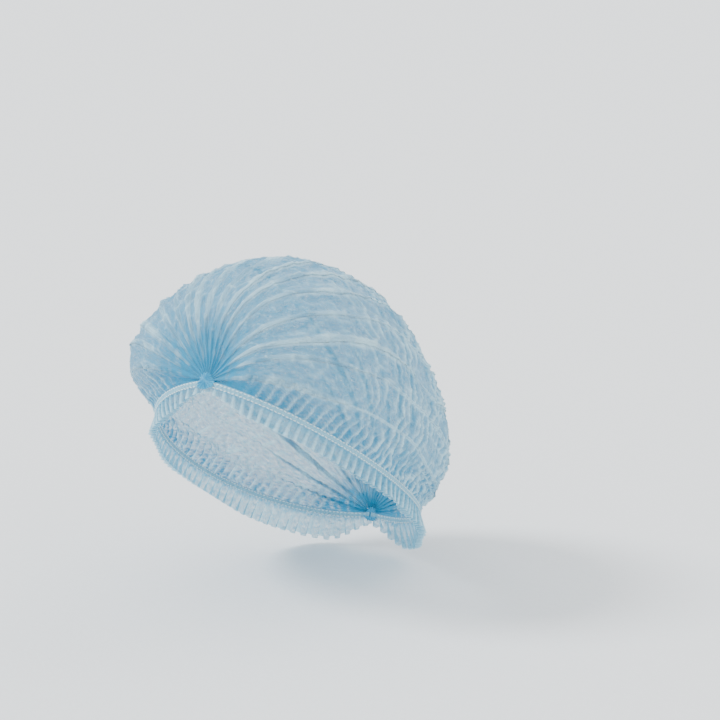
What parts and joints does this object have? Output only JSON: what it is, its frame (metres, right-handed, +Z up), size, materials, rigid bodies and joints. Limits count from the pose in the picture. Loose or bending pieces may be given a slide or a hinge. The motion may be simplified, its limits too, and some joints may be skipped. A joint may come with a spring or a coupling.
{
  "type": "disposable hairnet",
  "caption": "Pale-blue disposable hairnet of pleated nonwoven web, in its worn form, gathered front and back on an elastic rim.",
  "frame": {"origin": "middle of the elastic rim, half way along the line from the front gather to the back gather, where the head goes in", "axes": "+Z up with the wearer upright, -Y towards the face, +X towards the wearer's left"},
  "size_m": [0.1757, 0.2201, 0.2155],
  "materials": {
    "web": "sheer spunbonded polypropylene web, soft matt",
    "gathered_web": "many layers of the same web heat-sealed together",
    "elastic": "covered elastic thread under a stitched channel of web"
  },
  "bodies": {
    "root": {"crown": "web", "front_gather": "gathered_web", "back_gather": "gathered_web", "left_elastic": "elastic", "left_hem": "web", "right_elastic": "elastic", "right_hem": "web"}
  },
  "joints": []
}
